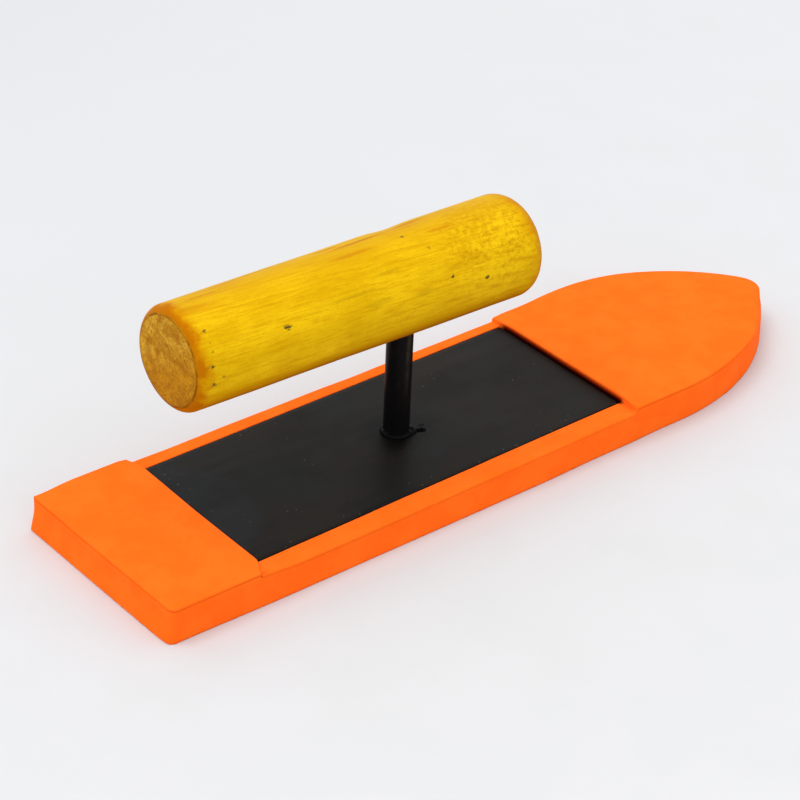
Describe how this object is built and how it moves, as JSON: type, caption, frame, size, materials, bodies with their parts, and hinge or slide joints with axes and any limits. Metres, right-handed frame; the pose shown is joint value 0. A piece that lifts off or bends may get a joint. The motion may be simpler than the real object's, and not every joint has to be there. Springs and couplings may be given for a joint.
{
  "type": "grout float",
  "caption": "Hand float for spreading grout: pointed foam pad with a steel plate let into its back, a round post and a turned wooden handle set lengthwise.",
  "frame": {"origin": "middle of the foam pad's outline on the sole, the face that rubs the floor", "axes": "+X from the square heel to the pointed toe, +Y across the pad, +Z from the sole up to the handle"},
  "size_m": [0.3, 0.076, 0.0918],
  "materials": {
    "foam": "matte",
    "adhesive": "satin",
    "plate_steel": "satin",
    "post_steel": "satin",
    "weld": "satin",
    "lacquered_wood": "satin"
  },
  "bodies": {
    "root": {"foam_pad": "foam", "glue_film": "adhesive", "backing_plate": "plate_steel", "post": "post_steel", "weld_bead": "weld", "handle": "lacquered_wood"}
  },
  "joints": []
}
